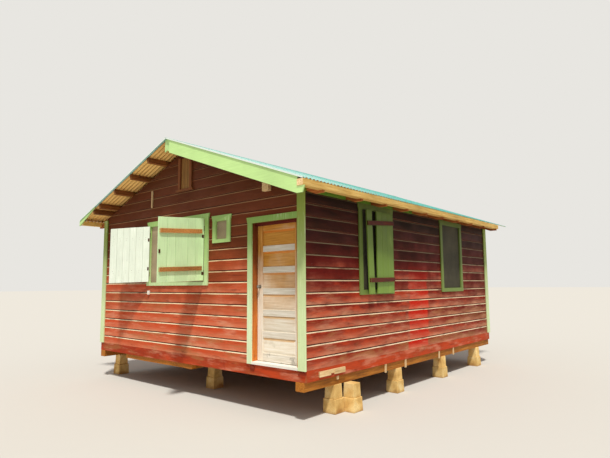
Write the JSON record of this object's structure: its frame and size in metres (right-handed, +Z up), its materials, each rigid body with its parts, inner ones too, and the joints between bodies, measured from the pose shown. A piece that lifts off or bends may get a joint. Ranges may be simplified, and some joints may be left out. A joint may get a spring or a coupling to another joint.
{
  "type": "stilt house",
  "caption": "Small timber house on low piers with board siding, shuttered windows, a panelled door that opens, and a corrugated metal gable roof.",
  "frame": {"origin": "centre of the bounding box in plan, on the ground under the piers", "axes": "+X to the right seen from the front gable, +Y from the front gable to the back, +Z up"},
  "size_m": [6.286, 8.0606, 4.3828],
  "materials": {
    "concrete": "matte, pale tan concrete",
    "raw_wood": "rough sawn",
    "stained_boards": "dark red-brown stain, worn",
    "pale_wood": "fresh sawn, bare",
    "mint_paint": "mint green paint, matte",
    "screen_mesh": "fine dark mesh",
    "steel": "dull",
    "brown_wood": "bare, reddish brown",
    "white_paint": "white paint, worn",
    "door_wood": "bare, weathered",
    "rafter_wood": "bare, reddish",
    "purlin_wood": "bare, golden",
    "roof_metal": "galvanised and painted pale teal, worn"
  },
  "bodies": {
    "house": {"piers": "concrete", "floor_beams": "raw_wood", "floor_joists": "raw_wood", "floor_boards": "raw_wood", "skirt_boards": "stained_boards", "splice_plank": "pale_wood", "beam_cleats": "pale_wood", "wall_plates": "raw_wood", "wall_studs": "raw_wood", "wall_rails": "raw_wood", "front_siding": "stained_boards", "front_siding_over_door": "stained_boards", "front_siding_by_door": "stained_boards", "front_gable_siding": "stained_boards", "right_siding": "stained_boards", "left_siding": "stained_boards", "back_siding": "stained_boards", "back_gable_siding": "stained_boards", "corner_boards": "mint_paint", "front_window_frames": "mint_paint", "side_window_frames": "mint_paint", "back_window_frame": "mint_paint", "window_screens": "screen_mesh", "front_shutter_left": "mint_paint", "front_shutter_right": "mint_paint", "side_shutter": "mint_paint", "shutter_hinges": "steel", "door_frame": "brown_wood", "door_trim": "mint_paint", "threshold": "white_paint", "hinge_plates": "steel", "gable_vent": "brown_wood", "gable_beam_end": "pale_wood", "wall_stick": "pale_wood", "rafters": "rafter_wood", "ridge_board": "raw_wood", "purlins": "purlin_wood", "roof_left": "roof_metal", "roof_right": "roof_metal", "ridge_cap": "roof_metal", "barge_boards": "mint_paint", "frieze_board": "mint_paint"},
    "door": {"door_leaf": "door_wood", "door_knobs": "steel", "door_hinges": "steel"}
  },
  "joints": [
    {"name": "door_hinge", "type": "hinge", "parent": "house", "child": "door", "pos_m": [2.647, -3.05536, 1.7], "axis": [0, 0, -1], "range_deg": [0, 85]}
  ]
}
